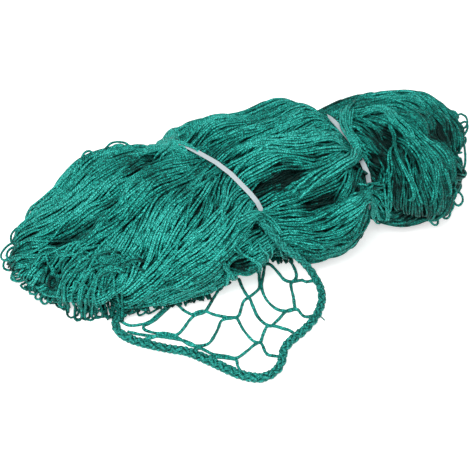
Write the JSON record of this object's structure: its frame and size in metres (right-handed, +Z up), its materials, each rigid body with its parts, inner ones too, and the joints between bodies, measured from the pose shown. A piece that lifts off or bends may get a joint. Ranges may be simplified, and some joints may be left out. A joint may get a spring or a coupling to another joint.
{
  "type": "cargo net",
  "caption": "Knotless green cargo net gathered lengthwise into a hank, bound with flat ties, with a flap of open mesh and its edge rope lying out in front.",
  "frame": {"origin": "centre of the bounding box's footprint, on the floor that the hank lies on", "axes": "+X along the hank, from the end that the ties leave flat and wide to the end with the long loops; +Z up from the floor; the flap lies out towards -Y"},
  "size_m": [0.6219, 0.3455, 0.1516],
  "materials": {
    "netting": "matte polyethylene twine",
    "rope": "matte polyethylene rope",
    "tie": "satin nylon"
  },
  "bodies": {
    "root": {"net_bundle": "netting", "loose_mesh": "netting", "border_rope": "rope", "left_loops": "netting", "right_loops": "netting", "tie_left": "tie", "tie_right": "tie"}
  },
  "joints": []
}
